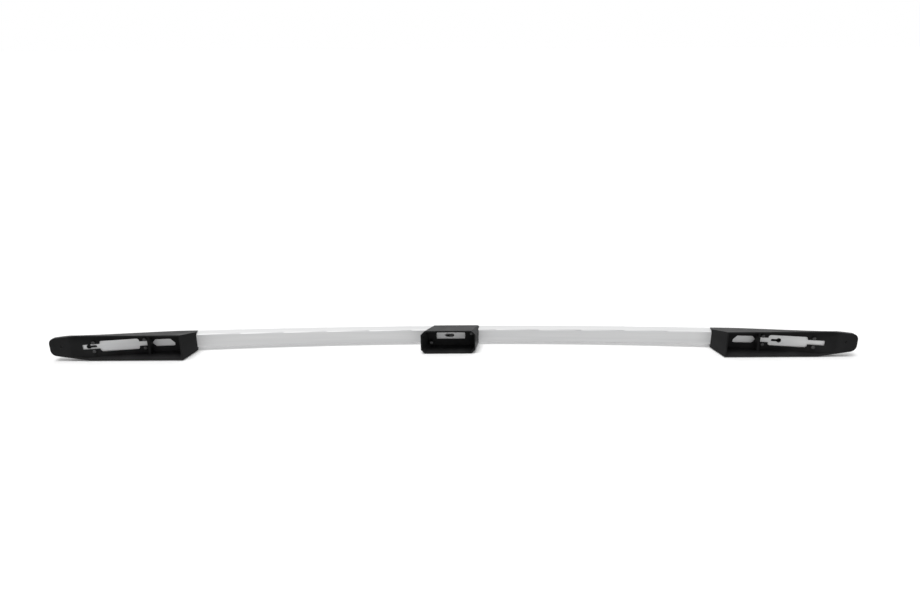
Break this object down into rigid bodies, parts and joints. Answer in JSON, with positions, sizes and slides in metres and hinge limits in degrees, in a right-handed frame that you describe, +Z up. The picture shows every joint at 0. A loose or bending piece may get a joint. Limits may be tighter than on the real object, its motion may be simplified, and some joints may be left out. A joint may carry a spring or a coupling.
{
  "type": "roof rail",
  "caption": "Arched satin aluminium roof rail on low black moulded feet with a slanted centre support, bolted along a vehicle's roof to carry cross bars",
  "frame": {"origin": "centre of the bounding box's bottom face, which is the plane of the two feet's bases", "axes": "+X from the front foot to the rear foot, +Y across the rail, +Z up from the roof"},
  "size_m": [1.9, 0.062, 0.1031],
  "materials": {
    "anodised_aluminium": "satin anodised",
    "black_moulding": "fine-grained matte",
    "screw_steel": "black zinc plated"
  },
  "bodies": {
    "root": {"rail_profile": "anodised_aluminium", "front_foot": "black_moulding", "rear_foot": "black_moulding", "centre_support": "black_moulding", "front_foot_screw_1": "screw_steel", "front_foot_screw_2": "screw_steel", "front_foot_screw_3": "screw_steel", "front_foot_screw_4": "screw_steel", "rear_foot_screw_1": "screw_steel", "rear_foot_screw_2": "screw_steel", "rear_foot_screw_3": "screw_steel", "rear_foot_screw_4": "screw_steel", "centre_support_screw_1": "screw_steel", "centre_support_screw_2": "screw_steel"}
  },
  "joints": []
}
